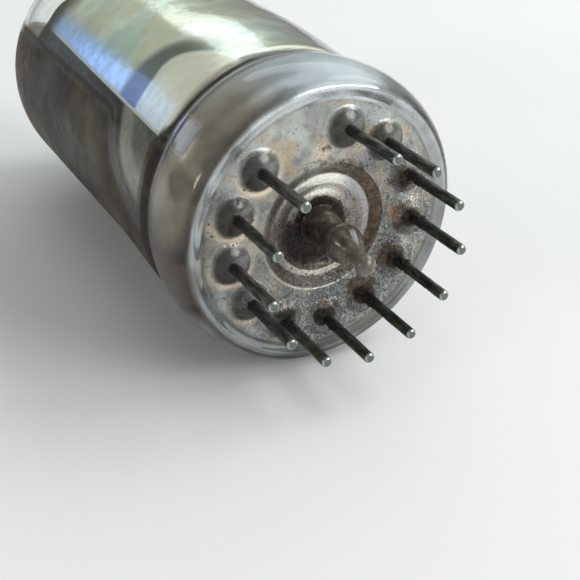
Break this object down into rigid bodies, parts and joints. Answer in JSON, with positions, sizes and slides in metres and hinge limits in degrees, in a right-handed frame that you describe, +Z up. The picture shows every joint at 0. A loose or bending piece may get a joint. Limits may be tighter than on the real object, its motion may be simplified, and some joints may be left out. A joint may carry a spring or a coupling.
{
  "type": "radio receiving tube",
  "caption": "All-glass vacuum tube with a ring of contact pins round a sealed exhaust tip, a silvered bulb, and a double electrode mount held between mica spacers.",
  "frame": {"origin": "centre of the pin circle in the seating plane, which is the flat land on the glass base's rim", "axes": "the tube lies on its side: its axis runs along Y, the pins point to -Y and the dome to +Y; +Z is up and the empty pin place is near the top"},
  "size_m": [0.0294, 0.0684, 0.0294],
  "materials": {
    "clear_glass": "clear blown glass, slightly aged",
    "stem_glass": "pressed glass, pitted and stained on its face",
    "smoked_glass": "smoky fire-polished glass",
    "pin_metal": "oxidised nickel-iron wire, sooty near the glass",
    "nickel": "dull nickel",
    "plate_metal": "carbonised nickel, matt",
    "grid_wire": "fine drawn wire, gold tint",
    "oxide": "matt white oxide coat on nickel",
    "heater_coat": "white insulated tungsten wire",
    "mica": "split mica sheet",
    "getter_metal": "fired getter channel",
    "getter_mirror": "silvery getter deposit with brown edges"
  },
  "bodies": {
    "root": {"glass_bulb": "clear_glass", "button_stem": "stem_glass", "exhaust_tip": "smoked_glass", "contact_pin_01": "pin_metal", "contact_pin_02": "pin_metal", "contact_pin_03": "pin_metal", "contact_pin_04": "pin_metal", "contact_pin_05": "pin_metal", "contact_pin_06": "pin_metal", "contact_pin_07": "pin_metal", "contact_pin_08": "pin_metal", "contact_pin_09": "pin_metal", "contact_pin_10": "pin_metal", "contact_pin_11": "pin_metal", "contact_pin_12": "pin_metal", "inner_lead_01": "nickel", "inner_lead_02": "nickel", "inner_lead_03": "nickel", "inner_lead_04": "nickel", "inner_lead_05": "nickel", "inner_lead_06": "nickel", "inner_lead_07": "nickel", "inner_lead_08": "nickel", "inner_lead_09": "nickel", "inner_lead_10": "nickel", "inner_lead_11": "nickel", "inner_lead_12": "nickel", "lower_mica": "mica", "upper_mica": "mica", "output_plate_rod_left": "nickel", "output_plate_rod_right": "nickel", "screen_grid_rod_left": "nickel", "screen_grid_rod_right": "nickel", "control_grid_rod_left": "nickel", "control_grid_rod_right": "nickel", "triode_plate_rod_left": "nickel", "triode_plate_rod_right": "nickel", "triode_grid_rod_left": "nickel", "triode_grid_rod_right": "nickel", "output_plate_front": "plate_metal", "output_plate_back": "plate_metal", "beam_plate_left": "nickel", "beam_plate_right": "nickel", "screen_grid_winding": "grid_wire", "control_grid_winding": "grid_wire", "output_cathode": "oxide", "output_heater": "heater_coat", "triode_plate_front": "plate_metal", "triode_plate_back": "plate_metal", "triode_grid_winding": "grid_wire", "triode_cathode": "oxide", "triode_heater": "heater_coat", "heater_link_left": "nickel", "heater_link_right": "nickel", "section_shield": "nickel", "getter_ring": "getter_metal", "getter_post": "nickel", "getter_film": "getter_mirror"}
  },
  "joints": []
}
